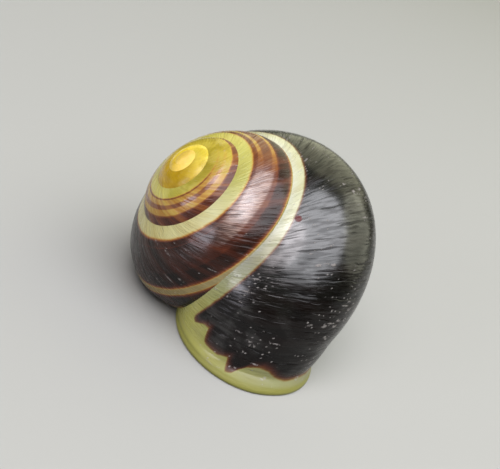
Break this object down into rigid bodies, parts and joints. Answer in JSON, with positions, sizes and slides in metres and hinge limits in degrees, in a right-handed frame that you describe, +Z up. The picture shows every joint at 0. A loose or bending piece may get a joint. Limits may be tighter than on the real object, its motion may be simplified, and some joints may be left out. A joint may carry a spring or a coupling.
{
  "type": "white-lipped banded snail",
  "caption": "Banded snail drawn into its right-coiling shell and resting on its pale lip: yellow apex, dark bands that end in teeth behind the lip, still life-size model.",
  "frame": {"origin": "centre of the base of the model's box, on the floor that the lip rests on", "axes": "+Z up from the floor that the lip rests on; -Y is the side where the outer lip shows; the apex points up and to -X"},
  "size_m": [0.0162, 0.0174, 0.0127],
  "materials": {
    "shell_bands": "glossy shell: yellow apex, red-brown to near-black spiral bands on pale yellow-green, fine growth lines",
    "shell_lip": "satin pale yellow-green lip",
    "animal_skin": "moist grey-brown skin with fine tubercles and a paler mantle edge"
  },
  "bodies": {
    "root": {"shell_apex": "shell_bands", "shell_third_whorl": "shell_bands", "shell_penultimate_whorl": "shell_bands", "shell_body_whorl_back": "shell_bands", "shell_body_whorl_side": "shell_bands", "shell_body_whorl_front": "shell_bands", "shell_lip_outer": "shell_lip", "shell_lip_basal": "shell_lip", "shell_lip_columellar": "shell_lip", "mantle_pore": "animal_skin", "mantle_collar": "animal_skin", "foot_sole_front": "animal_skin", "foot_sole_middle": "animal_skin", "foot_tail": "animal_skin"}
  },
  "joints": []
}
